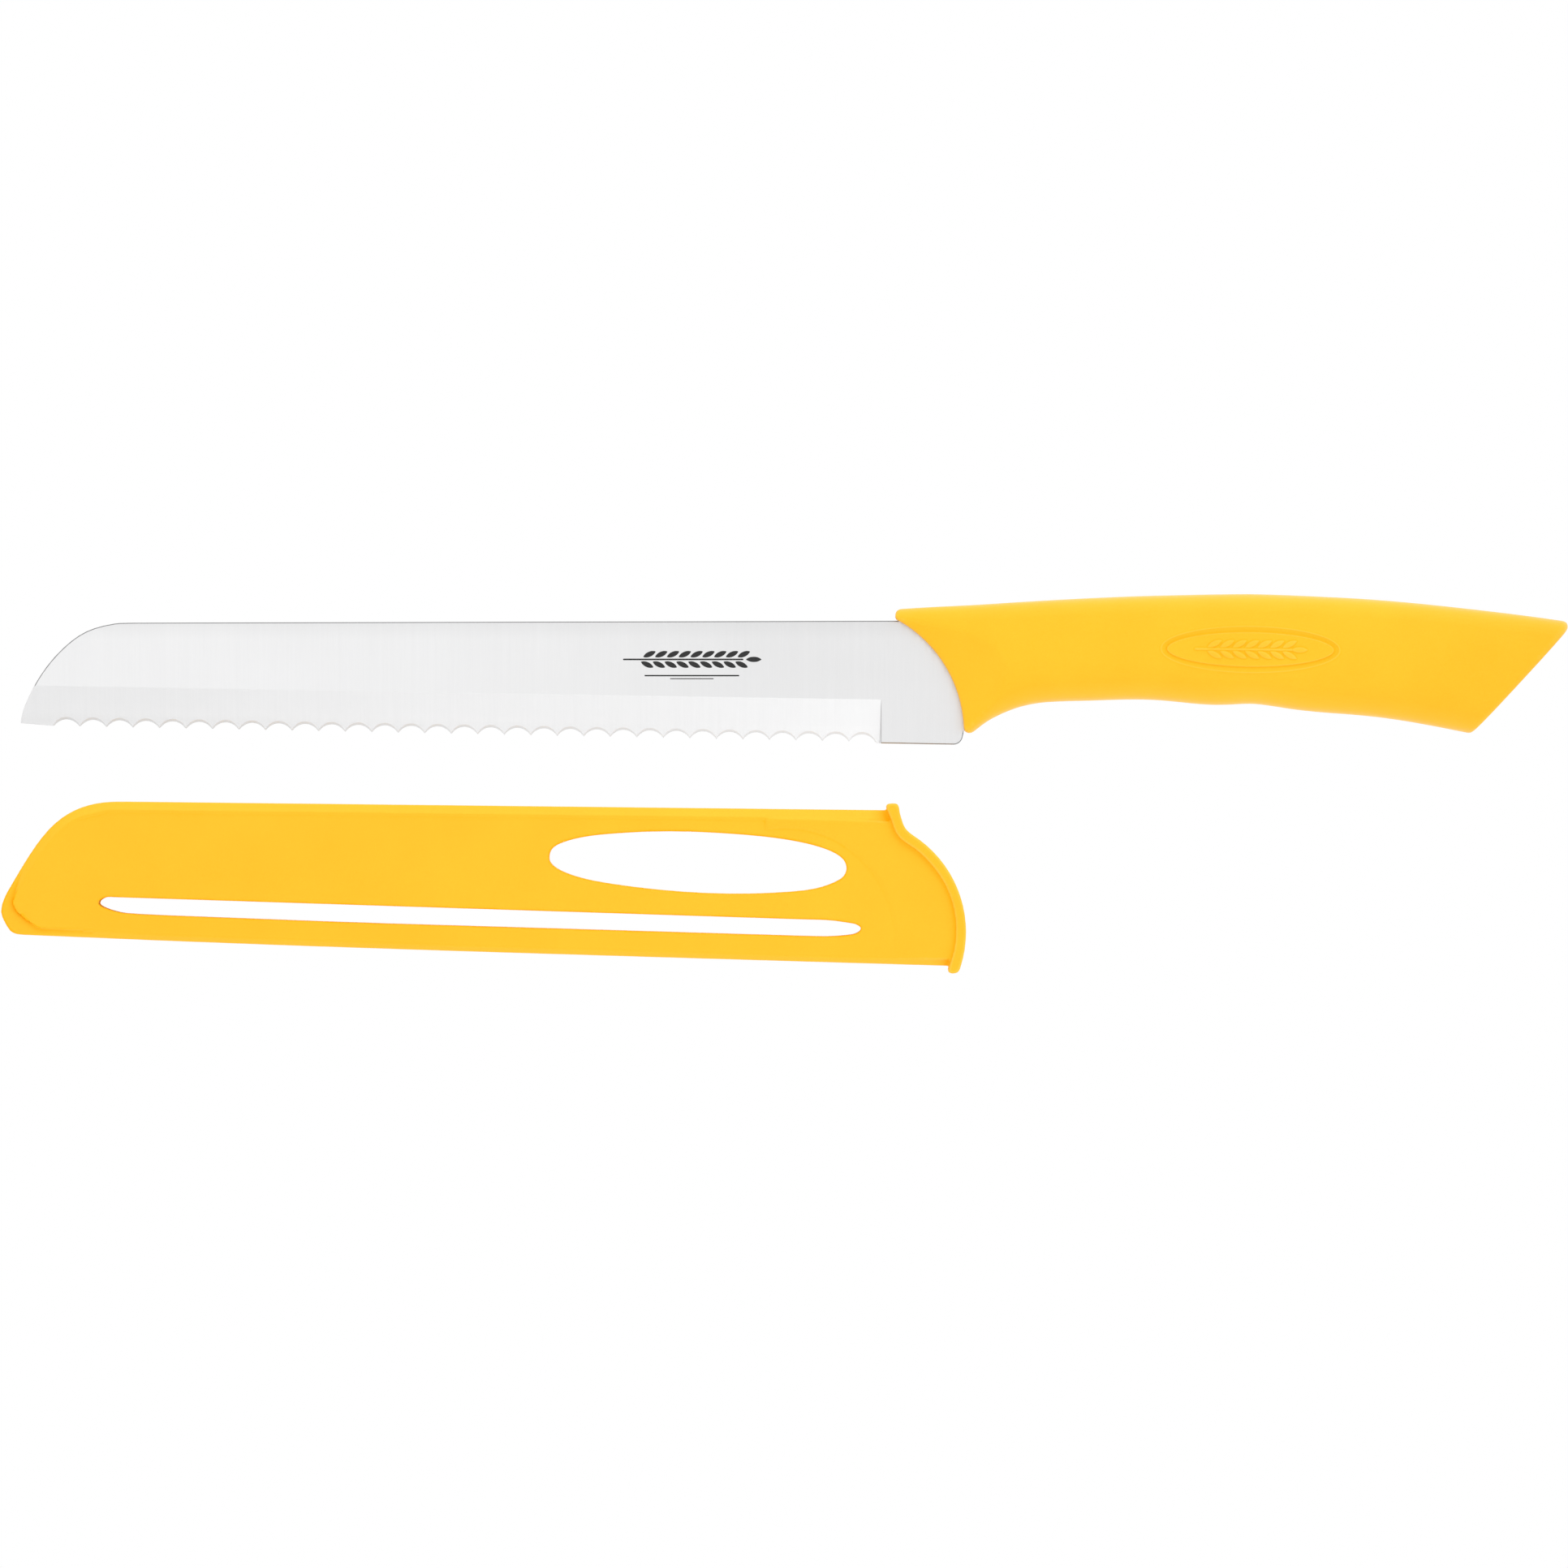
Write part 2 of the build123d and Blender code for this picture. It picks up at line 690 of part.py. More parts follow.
# a broad oval window and a long slot along the edge side
with BuildPart() as windows:
    with BuildSketch(sheath_side):
        with BuildLine():
            Spline(*oval_window, periodic=True)
        make_face()
    extrude(amount=sheath_cut, both=True)
    with BuildSketch(sheath_side):
        with BuildLine():
            Spline(*slot_window_left, tangents=(slot_left_start, slot_top))
            Line(slot_window_left[-1], slot_window_right[0])
            Spline(*slot_window_right, tangents=(slot_top, slot_low_start))
            Spline(*slot_window_low, tangents=(slot_low_start, slot_left_start))
        make_face()
    extrude(amount=sheath_cut, both=True)

trim_start = (lip_outer_top[0][0] - lip_overlap, lip_outer_top[0][1])
trim_end = (lip_outer_end[0] - lip_overlap, lip_outer_end[1])

with BuildPart() as sheath:
    add(pocket.part)
    add(flare.part)
    # everything beyond the mouth is cleared away before the lip goes on
    with BuildSketch(sheath_side):
        with BuildLine():
            draw_mouth_line(lip_overlap)
            Polyline(
                trim_end,
                (trim_end[0] - 0.8, -30),
                (40, -30),
                (40, 30),
                (trim_start[0] - 0.15, 30),
                trim_start,
            )
        make_face()
    extrude(amount=sheath_cut, both=True, mode=Mode.SUBTRACT)
    add(lip.part)
    with BuildSketch(sheath_side):
        with BuildLine():
            Polyline(*cavity_profile, close=True)
        make_face()
    extrude(amount=cavity_half, both=True, mode=Mode.SUBTRACT)
    add(windows.part, mode=Mode.SUBTRACT)

# ================================================================ export
pieces = {
    "blade": blade.part,
    "handle_core": handle_core.part,
    "handle_grip": handle_grip.part,
    "sheath": sheath.part,
}
for name, piece in pieces.items():
    piece.label = name
    export_step(piece, f"parts/{name}.step")
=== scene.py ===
# Bread knife with its blade sheath: materials, moulded plastic surfaces, the blade's print,
# floor, light and camera. Metres, in the CAD frame: +X runs from the blade's tip to the
# handle's butt, +Z towards the spine, and -Y is the near side, which the camera faces.
import json
import math

import bmesh
import bpy
import numpy as np
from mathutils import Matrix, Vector

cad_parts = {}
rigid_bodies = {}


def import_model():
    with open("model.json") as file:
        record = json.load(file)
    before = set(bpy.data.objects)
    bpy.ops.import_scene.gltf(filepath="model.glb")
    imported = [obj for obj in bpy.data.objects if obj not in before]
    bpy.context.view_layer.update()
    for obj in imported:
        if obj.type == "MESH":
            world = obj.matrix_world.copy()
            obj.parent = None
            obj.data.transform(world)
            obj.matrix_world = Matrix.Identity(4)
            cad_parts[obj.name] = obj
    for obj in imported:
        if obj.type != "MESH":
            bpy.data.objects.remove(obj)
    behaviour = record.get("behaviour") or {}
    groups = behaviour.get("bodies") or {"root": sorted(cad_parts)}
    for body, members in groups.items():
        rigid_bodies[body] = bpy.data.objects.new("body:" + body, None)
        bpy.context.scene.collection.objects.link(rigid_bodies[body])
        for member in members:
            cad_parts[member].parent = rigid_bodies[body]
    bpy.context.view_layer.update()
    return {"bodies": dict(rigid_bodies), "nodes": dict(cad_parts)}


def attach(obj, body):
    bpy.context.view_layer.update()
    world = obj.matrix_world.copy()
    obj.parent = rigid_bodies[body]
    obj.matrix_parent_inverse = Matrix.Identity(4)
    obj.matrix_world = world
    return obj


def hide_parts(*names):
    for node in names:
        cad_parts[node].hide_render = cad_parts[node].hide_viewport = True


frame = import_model()
cad_nodes = frame["nodes"]
scene = bpy.context.scene

MM = 0.001
WHITE = (1, 1, 1, 1)

# an ear of grain is moulded on the handle and another is printed on the blade
LEAF_TAPER = 0.45  # share of a leaf's width lost at its ends


# ------------------------------------------------------------------ shader nodes
class Nodes:
    """Builds a node tree. An input may be given a plain value or the socket that feeds it."""

    def __init__(self, tree, output_kind):
        self.tree = tree
        tree.nodes.clear()
        self.output = tree.nodes.new(output_kind)

    def node(self, kind, inputs=None, output=0, **settings):
        """Add a node and return one of its outputs."""
        made = self.tree.nodes.new("ShaderNode" + kind)
        for name, value in settings.items():
            setattr(made, name, value)
        for key, value in (inputs or {}).items():
            if isinstance(value, bpy.types.NodeSocket):
                self.tree.links.new(value, made.inputs[key])
            else:
                made.inputs[key].default_value = value
        return made.outputs[output]

    def surface(self, shader):
        self.tree.links.new(shader, self.output.inputs["Surface"])

    def math(self, operation, *values):
        return self.node("Math", dict(enumerate(values)), operation=operation)

    def add(self, total, *others):
        for value in others:
            total = self.math("ADD", total, value)
        return total

    def multiply(self, total, *others):
        for value in others:
            total = self.math("MULTIPLY", total, value)
        return total

    def remap(self, value, source, target=(0, 1), clamp=True):
        """Map the source range linearly onto the target range."""
        inputs = {
            "Value": value,
            "From Min": source[0],
            "From Max": source[1],
            "To Min": target[0],
            "To Max": target[1],
        }
        return self.node("MapRange", inputs, "Result", clamp=clamp)

    def swing(self, value, amount, source=(0.3, 0.7)):
        """Map the source range onto -amount to amount."""
        return self.remap(value, source, (-amount, amount))

    def ramp(self, value, stops):
        """Linear interpolation through (position, result) stops."""
        result = self.node("ValToRGB", {0: value})
        elements = result.node.color_ramp.elements
        while len(elements) > 1:
            elements.remove(elements[-1])
        for i, (position, level) in enumerate(stops):
            stop = elements[0] if i == 0 else elements.new(position)
            stop.position = position
            stop.color = (level, level, level, 1)
        return result

    def noise(self, scale, detail=2.0, rough=0.5):
        """Noise in object space, its scale along x, y and z in cells per metre."""
        place = self.node("TexCoord", output="Object")
        vector = self.node("Mapping", {"Vector": place, "Scale": scale})
        inputs = {"Vector": vector, "Scale": 1.0, "Detail": detail, "Roughness": rough}
        return self.node("TexNoise", inputs, "Fac")

    def split(self, kind, output):
        """The X, Y and Z of a new node's vector output."""
        return self.node("SeparateXYZ", {0: self.node(kind, output=output)}).node.outputs

    def combine(self, red, green, blue):
        return self.node("CombineColor", {0: red, 1: green, 2: blue})

    def mix(self, factor, first, second):
        return self.node("Mix", {"Factor": factor, 2: first, 3: second}, data_type="FLOAT")

    def mix_colour(self, factor, first, second):
        inputs = {"Factor": factor, 6: first, 7: second}
        return self.node("Mix", inputs, output=2, data_type="RGBA")

    def bump(self, height, strength, distance, **inputs):
        values = {"Strength": strength, "Distance": distance, "Height": height}
        return self.node("Bump", {**values, **inputs})


def new_material(name):
    material = bpy.data.materials.new(name)
    material.use_nodes = True
    return material, Nodes(material.node_tree, "ShaderNodeOutputMaterial")


# ------------------------------------------------------------------ materials
def make_steel():
    """Satin stainless with grain across the blade, a brighter polish on the ground band, and a
    painted reflection that sets the level along the blade.
    """
    material, n = new_material("satin_steel")
    place = n.split("TexCoord", "Object")
    x, z = place["X"], place["Z"]
    normal = n.split("NewGeometry", "Normal")

    # the ground band: below a sloping line, towards the tip, on the near side only
    grind_line = n.remap(
        x, source=(-0.15728, -0.00584), target=(-0.00085, -0.00336), clamp=False
    )
    under = n.remap(n.math("SUBTRACT", grind_line, z), source=(-0.00006, 0.00006))
    ahead = n.remap(x, source=(-0.00556, -0.00546), target=(1, 0))
    near_side = n.remap(normal["Y"], source=(-0.2, 0.2), target=(1, 0))
    ground = n.multiply(under, ahead, near_side)

    # painted reflection: the steel's level along the blade from tip to handle, for the flats and
    # for the ground band, standing in for the tent's uneven reflection: (position, level)
    along = n.remap(x, source=(-0.176, 0.012))
    flats_reflection_tone = n.ramp(
        along, [(0.0, 0.730), (0.22, 0.733), (0.46, 0.716), (0.8, 0.674), (1.0, 0.671)]
    )
    band_reflection_tone = n.ramp(along, [
        (0.0, 0.740), (0.2, 0.757), (0.46, 0.792), (0.6, 0.800),
        (0.79, 0.829), (0.885, 0.852), (1.0, 0.856),
    ])
    reflection_tone = n.mix(ground, flats_reflection_tone, band_reflection_tone)

    # strokes across the blade at four widths, and patches lying along it
    fine = n.noise(scale=(9000, 60, 190), detail=3, rough=0.6)
    medium = n.noise(scale=(2600, 40, 60))
    stroke = n.noise(scale=(1100, 22, 26))
    broad = n.noise(scale=(240, 10, 14))
    cloud = n.noise(scale=(38, 10, 90), detail=3)
    grain = n.add(
        n.swing(fine, amount=0.009, source=(0.25, 0.75)),
        n.swing(medium, amount=0.007),
        n.swing(stroke, amount=0.005),
        n.swing(broad, amount=0.004),
        n.swing(cloud, amount=0.005),
    )

    # darker towards the spine, and dull on the cut edges, spine and step
    spine = n.remap(z, source=(0.0085, 0.0121), target=(1.0, 0.927))
    facing = n.math("ABSOLUTE", normal["Y"])
    polish = n.remap(facing, source=(0.80, 0.97), target=(0.40, 1.0))
    # the scallops' narrow bevel is nearly as bright as the band above it
    bevel_polish = 0.93
    polish = n.math("MAXIMUM", polish, n.multiply(under, ahead, bevel_polish))
    value = n.multiply(n.add(reflection_tone, grain), spine, polish)
    tint = (1.0, 1.0, 1.004)

    rough = n.add(
        n.remap(medium, source=(0.3, 0.7), target=(0.30, 0.40)),
        n.swing(fine, amount=0.03, source=(0.2, 0.8)),
    )
    medium_height = 0.8
    height = n.add(fine, n.multiply(medium, medium_height))
    soft_edge = n.node("Bevel", {"Radius": 0.00008}, samples=4)
    n.surface(n.node("BsdfPrincipled", {
        "Base Color": n.combine(*(n.multiply(value, share) for share in tint)),
        "Metallic": 1.0,
        "Roughness": rough,
        "Anisotropic": 0.5,
        "Tangent": n.node("Tangent", direction_type="RADIAL", axis="Z"),
        "Normal": n.bump(height, strength=0.10, distance=0.00002, Normal=soft_edge),
    }))
    return material


def make_plastic(name, base, rough, specular, grit, mottle, wear, sheen, painted_shade_strength=0.5,
                 painted_highlight=0.0, painted_highlight_span=(0.10, 0.50), falloff_shade_span=None, falloff_shade_depth=0.0,
                 is_cover=False):
    """Moulded plastic with a fine grit, mottled tone, and edges rubbed lighter and smoother.

    painted_shade_strength: how far painted shade deepens the tone in corners and shut-in
    hollows; painted_highlight: painted paling where the normal's z is in painted_highlight_span;
    falloff_shade_span, falloff_shade_depth: the x range over which painted shade deepens the
    tone, and by how much.
    """
    material, n = new_material(name)
    fine = n.noise(scale=(grit,) * 3, rough=0.6)
    coarse = n.noise(scale=(grit * 0.36,) * 3)
    cloud = n.noise(scale=(90, 90, 90), detail=3, rough=0.55)
    drift = n.noise(scale=(14, 14, 14))

    # convex edges, and hollow corners that get painted shade, from the curvature stored on the
    # mesh in 1/mm
    bend = n.node("Attribute", output="Fac", attribute_name="bend")
    edge = n.remap(bend, source=(0.5, 1.8))
    edge = n.multiply(edge, n.remap(cloud, source=(0.35, 0.65), target=(0.6, 1.0)))
    crease_shade = n.remap(bend, source=(-0.15, -1.2))
    # painted shade: ambient occlusion deepens the tone where the surface is shut in
    openness = n.node("AmbientOcclusion", {"Distance": 0.0035}, "AO", samples=16)
    occlusion_shade = n.remap(openness, source=(0.62, 0.985), target=(1, 0))
    crease_shade_depth = painted_shade_strength * 0.55
    painted_shade = n.math("MAXIMUM", n.multiply(occlusion_shade, painted_shade_strength), n.multiply(crease_shade, crease_shade_depth))

    if is_cover or falloff_shade_span:
        place = n.split("TexCoord", "Object")
    if is_cover:
        # only the lip is rubbed pale, and painted shade gives the windows' rims a deeper tone
        lip = n.remap(place["X"], source=(-0.009, -0.006))
        edge = n.multiply(edge, lip)
        # height above the windows' centre line, which slopes a little
        line_drop, line_slope = 0.0402, 0.01396
        level = n.add(place["Z"], line_drop, n.multiply(place["X"], line_slope))
        height = n.math("ABSOLUTE", level)
        window = n.remap(height, source=(0.0113, 0.0119), target=(1, 0))
        window_rim_shade_depth = 0.7
        window_rim_shade = n.multiply(
            n.remap(bend, source=(0.8, 2.0)), window, n.math("SUBTRACT", 1.0, lip), window_rim_shade_depth
        )
        painted_shade = n.math("MAXIMUM", painted_shade, window_rim_shade)

    # speck drives the blue channel, shade the other two
    speck = n.add(
        n.swing(fine, amount=mottle, source=(0.25, 0.75)),
        n.swing(cloud, amount=mottle * 0.6),
        n.swing(drift, amount=mottle * 0.5),
    )
    shade = n.add(1.0, speck)
    # painted highlight: faces whose normal points up or down are made paler, standing in for
    # light from above and below
    if painted_highlight:  # the upper and lower edges are paler
        normal = n.split("NewGeometry", "Normal")
        highlight_mask = n.remap(n.math("ABSOLUTE", normal["Z"]), source=painted_highlight_span)
        shade = n.add(shade, n.multiply(highlight_mask, painted_highlight))
        speck = n.add(speck, n.multiply(highlight_mask, painted_highlight * 1.5))
    # painted shade: the tone deepens over an x range, standing in for the light falling off
    # towards one end
    if falloff_shade_span:
        painted_falloff = n.multiply(n.remap(place["X"], source=falloff_shade_span), falloff_shade_depth)
        speck_share = 0.6
        shade = n.math("SUBTRACT", shade, painted_falloff)
        speck = n.math("SUBTRACT", speck, n.multiply(painted_falloff, speck_share))
    blue_gain = 6.0
    colour = n.combine(
        n.multiply(shade, base[0]),
        n.multiply(shade, base[1]),
        n.multiply(n.add(1.0, n.multiply(speck, blue_gain)), base[2]),
    )
    worn_colour, shade_colour = (1.0, 0.66, 0.12, 1), (0.985, 0.44, 0.0, 1)
    colour = n.mix_colour(n.multiply(edge, wear), colour, worn_colour)
    # painted shade: corners, shut-in hollows and the windows' rims take a deeper orange
    colour = n.mix_colour(painted_shade, colour, shade_colour)

    edge_smoothing, coarse_height = -0.08, 0.9
    base_rough = n.remap(coarse, source=(0.3, 0.7), target=(rough - 0.05, rough + 0.05))
    # painted shade also dims the specular and the sheen
    lit = n.remap(painted_shade, source=(0.0, 1.0), target=(1.0, 0.1))
    height = n.add(fine, n.multiply(coarse, coarse_height))
    n.surface(n.node("BsdfPrincipled", {
        "Base Color": colour,
        "Roughness": n.add(base_rough, n.multiply(edge, edge_smoothing)),
        "Specular IOR Level": n.multiply(lit, specular),
        "Sheen Weight": n.multiply(lit, sheen),
        "Sheen Roughness": 0.35,
        "Normal": n.bump(height, strength=0.35, distance=0.00004),
    }))
    return material


def make_ink():
    """Slightly uneven grey-black printing ink."""
    material, n = new_material("printed_ink")
    uneven = n.noise(scale=(5200, 5200, 5200), detail=3, rough=0.6)
    grey = n.remap(uneven, source=(0.3, 0.7), target=(0.014, 0.030))
    n.surface(n.node("BsdfPrincipled", {
        "Base Color": n.combine(grey, grey, grey),
        "Roughness": n.remap(uneven, source=(0.3, 0.7), target=(0.45, 0.62)),
        "Specular IOR Level": 0.25,
        "Normal": n.bump(uneven, strength=0.3, distance=0.00001),
    }))
    return material


def make_floor_material():
    """Matt pale grey that clears to nothing towards the floor's rim."""
    material, n = new_material("pale_floor")
    pale = n.node("BsdfPrincipled", {"Base Color": (0.86, 0.86, 0.86, 1), "Roughness": 0.8})
    place = n.node("TexCoord", output="Object")
    radius = n.node("VectorMath", {0: place}, "Value", operation="LENGTH")
    fade = n.remap(radius, source=(0.9, 2.3))
    n.surface(n.node("MixShader", {0: fade, 1: pale, 2: n.node("BsdfTransparent")}))
    return material


# ------------------------------------------------------------------ objects and meshes
def add_object(name, data):
    made = bpy.data.objects.new(name, data)
    scene.collection.objects.link(made)
    return made


def add_bmesh_object(name, bm):
    mesh = bpy.data.meshes.new(name)
    bm.to_mesh(mesh)
    bm.free()
    return add_object(name, mesh)


def paint(target, material):
    target.data.materials.clear()
    target.data.materials.append(material)


def read_vectors(vertices, name):
    values = np.empty(len(vertices) * 3)
    vertices.foreach_get(name, values)
    return values.reshape(-1, 3)


def read_links(mesh):
    """Each edge both ways as start and end indices, and the count of edges at each vertex."""
    edges = np.empty(len(mesh.edges) * 2, np.int64)
    mesh.edges.foreach_get("vertices", edges)
    edges = edges.reshape(-1, 2)
    starts = np.concatenate([edges[:, 0], edges[:, 1]])
    ends = np.concatenate([edges[:, 1], edges[:, 0]])
    count = np.maximum(np.bincount(starts, minlength=len(mesh.vertices)), 1).astype(float)
    return starts, ends, count


def mean_at_vertices(link_values, links):
    """The mean, at each vertex, of one value for each of its links."""
    starts, _, count = links
    return np.bincount(starts, weights=link_values, minlength=len(count)) / count


def relax(points, weight, links):
    """Move each point towards its neighbours' middle by weight, one number or one per point."""
    ends = links[1]
    middle = np.stack([mean_at_vertices(points[ends, axis], links) for axis in range(3)], 1)
    return points + (middle - points) * np.reshape(weight, (-1, 1))


def write_points(target, points):
    mesh = target.data
    mesh.vertices.foreach_set("co", np.ascontiguousarray(points, np.float32).ravel())
    mesh.polygons.foreach_set("use_smooth", np.ones(len(mesh.polygons), bool))
    mesh.update()


def store_bend(mesh, points):
    """Store the smoothed mean curvature as "bend": 1/mm, positive on convex edges."""
    links = read_links(mesh)
    starts, ends, _ = links
    normals = read_vectors(mesh.vertices, "normal")
    step = points[ends] - points[starts]
    outward = -mean_at_vertices((step * normals[starts]).sum(1), links)
    size = mean_at_vertices((step**2).sum(1), links)
    bend = 4 * outward / np.maximum(size, 1e-12) * MM
    for _ in range(2):
        bend = 0.5 * bend + 0.5 * mean_at_vertices(bend[ends], links)
    layer = mesh.attributes.new("bend", "FLOAT", "POINT")
    layer.data.foreach_set("value", np.ascontiguousarray(bend, np.float32))


def make_moulding(node, name, voxel, soften):
    """An even mesh over a CAD node with its edges softened: the object and its points."""
    source = cad_nodes[node]
    moulding = add_object(name, source.data.copy())
    bm = bmesh.new()
    bm.from_mesh(moulding.data)
    bmesh.ops.remove_doubles(bm, verts=bm.verts, dist=1e-6)
    bm.to_mesh(moulding.data)
    bm.free()

    even = moulding.modifiers.new("even", "REMESH")
    even.mode = "VOXEL"
    even.voxel_size = voxel
    even.adaptivity = 0.0
    hug = moulding.modifiers.new("hug", "SHRINKWRAP")
    hug.target = source
    hug.wrap_method = "NEAREST_SURFACEPOINT"
    bpy.context.view_layer.update()
    depsgraph = bpy.context.evaluated_depsgraph_get()
    evaluated = moulding.evaluated_get(depsgraph)
    mesh = bpy.data.meshes.new_from_object(evaluated, depsgraph=depsgraph)
    moulding.modifiers.clear()
    moulding.data = mesh

    # inward and outward steps alternate, so the solid doesn't shrink
    links = read_links(mesh)
    points = read_vectors(mesh.vertices, "co")
    for weight in (0.5, -0.52) * soften + (0.3, 0.3):
        points = relax(points, weight, links)
    return moulding, points


def finish_moulding(moulding, points, material, node, body):
    write_points(moulding, points)
    store_bend(moulding.data, points)
    paint(moulding, material)
    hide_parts(node)
    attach(moulding, body)


def smoothstep(start, end, value):
    share = np.clip((value - start) / (end - start), 0, 1)
    return share * share * (3 - 2 * share)


# ------------------------------------------------------------------ handle grip
CREASE_CENTRE = (-14.72 * MM, -9.96 * MM)  # x, z of the arc the soft crease follows

OVAL_CENTRE = (66.9 * MM, 6.4 * MM)  # x, z
OVAL_TURN = math.radians(-0.6)
OVAL_EXTENT = (19.0, 5.6)  # half length and half height of the reworked area, mm
RING_INNER = (16.55, 3.55)  # half sizes of the sunk ring's deepest line, mm
RING_OUTER = (17.5, 4.5)  # half sizes of the crest round it, mm
RING_DEPTH = 0.30
CREST_HEIGHT = 0.05


def crease_weight(points):
    """1 along the crease behind the front facet, on both sides of the handle."""
    radius = np.hypot(points[:, 0] - CREASE_CENTRE[0], points[:, 2] - CREASE_CENTRE[1])
    along_arc = smoothstep(0.0266, 0.0285, radius) * (1 - smoothstep(0.0400, 0.0450, radius))
    return along_arc * smoothstep(0.0030, 0.0036, np.abs(points[:, 1]))


def oval_frame(points):
    """Points in mm along and across the oval."""
    x, z = points[:, 0] - OVAL_CENTRE[0], points[:, 2] - OVAL_CENTRE[1]
    cos, sin = math.cos(OVAL_TURN), math.sin(OVAL_TURN)
    return (x * cos + z * sin) / MM, (-x * sin + z * cos) / MM


def oval_weight(points, grow=0.0):
    """1 inside the oval's area on the near side, falling to 0 round it."""
    along, across = oval_frame(points)
    radius = np.hypot(along / (OVAL_EXTENT[0] + grow), across / (OVAL_EXTENT[1] + grow))
    return (1 - smoothstep(0.95, 1.08, radius)) * (points[:, 1] < -2.0 * MM)


def oval_distance(along, across, half_sizes):
    """Approximate distance outside an oval, negative inside it."""
    length, height = half_sizes
    radius = np.hypot(along / length, across / height)
    slope = np.hypot(along / length**2, across / height**2)
    return (radius - 1) * radius / np.maximum(slope, 1e-6)


def leaf_relief(along, across, centre, length, width, turn):
    """A domed leaf's height in mm."""
    cos, sin = math.cos(turn), math.sin(turn)
    x, z = along - centre[0], across - centre[1]
    lengthwise, crosswise = (x * cos + z * sin) / length, -x * sin + z * cos
    taper = np.clip(1 - LEAF_TAPER * np.abs(lengthwise) ** 3, 0.3, 1)
    spread = lengthwise**2 + (crosswise / (width * taper)) ** 2
    return 0.32 * np.clip(1 - spread, 0, 1) ** 0.5


def relief_height(points):
    """The oval's sunk ring and the ear of grain inside it, in metres above the side."""
    along, across = oval_frame(points)
    inner = oval_distance(along, across, RING_INNER)
    outer = oval_distance(along, across, RING_OUTER)
    share = np.clip(inner / np.maximum(inner - outer, 1e-6), 0, 1)
    height = -RING_DEPTH + (RING_DEPTH + CREST_HEIGHT) * share**1.5
    height = np.where(inner < 0, -RING_DEPTH * smoothstep(-0.26, 0.0, inner), height)
    crest = CREST_HEIGHT * (1 - smoothstep(0.0, 0.40, outer))
    height = np.where(outer > 0, crest, height)

    # leaves: centre, length, width, turn
    pairs, pitch, shift = 7, 2.45, 0.3
    leaves = [
        (((i - pairs // 2) * pitch + shift, side * 1.05), 1.62, 0.60, side * math.radians(26))
        for i in range(pairs) for side in (-1, 1)
    ]
    leaves.append(((9.6, 0.0), 1.7, 0.60, 0.0))
    ear = np.zeros(len(along))
    for leaf in leaves:
        ear = np.maximum(ear, leaf_relief(along, across, *leaf))
    stem = 0.18 * np.clip(1 - (across / 0.28) ** 2, 0, 1) ** 0.5
    stem = stem * smoothstep(-11.2, -10.6, along) * (1 - smoothstep(8.0, 8.6, along))
    return (height + np.maximum(ear, stem)) * MM


def relax_oval(points, links, rounds, strength):
    for _ in range(rounds):
        points = relax(points, oval_weight(points) * strength, links)
    return points


def build_grip(material):
    grip, points = make_moulding("handle_grip", "grip_moulding", voxel=0.00038, soften=6)
    links = read_links(grip.data)
    weight = crease_weight(points) * 0.6
    for _ in range(10):
        points = relax(points, weight, links)

    # the oval's area is evened out, meshed finer and given its relief
    points = relax_oval(points, links, rounds=30, strength=0.6)
    write_points(grip, points)
    bm = bmesh.new()
    bm.from_mesh(grip.data)
    chosen = oval_weight(points, grow=0.6) > 0.5
    edges = [e for e in bm.edges if chosen[e.verts[0].index] and chosen[e.verts[1].index]]
    bmesh.ops.subdivide_edges(bm, edges=edges, cuts=4, use_grid_fill=True)
    bm.to_mesh(grip.data)
    bm.free()

    links = read_links(grip.data)
    points = read_vectors(grip.data.vertices, "co")
    points = relax_oval(points, links, rounds=30, strength=0.6)
    points[:, 1] -= relief_height(points) * (oval_weight(points) > 0)
    points = relax_oval(points, links, rounds=1, strength=0.4)
    finish_moulding(grip, points, material, "handle_grip", "knife")


# ------------------------------------------------------------------ blade's print
# an ear of grain over two rules; x and z in mm
EAR_Z, EAR_START, EAR_END = 4.55, -56.2, -29.4
LEAF_PAIRS = 9
LEAF_FIRST, LEAF_LAST = EAR_START + 4.6, EAR_END - 3.6
PRINT_FRONT_Y, PRINT_BACK_Y = -0.915 * MM, -0.892 * MM


def leaf_outline(centre_x, centre_z, length, width, turn, count=36):
    """A pointed oval, by its half length and half width."""
    points = []
    for i in range(count):
        angle = i / count * 2 * math.pi
        x = math.cos(angle) * length
        z = math.sin(angle) * (1 - LEAF_TAPER * abs(math.cos(angle)) ** 3) * width
        points.append((
            centre_x + x * math.cos(turn) - z * math.sin(turn),
            centre_z + x * math.sin(turn) + z * math.cos(turn),
        ))
    return points


def bar_outline(start, end, z, radius, steps=6):
    """A round-ended bar along x."""
    points = []
    for x, first_angle in ((start, math.pi / 2), (end, -math.pi / 2)):
        for i in range(steps + 1):
            angle = first_angle + math.pi * i / steps
            points.append((x + radius * math.cos(angle), z + radius * math.sin(angle)))
    return points


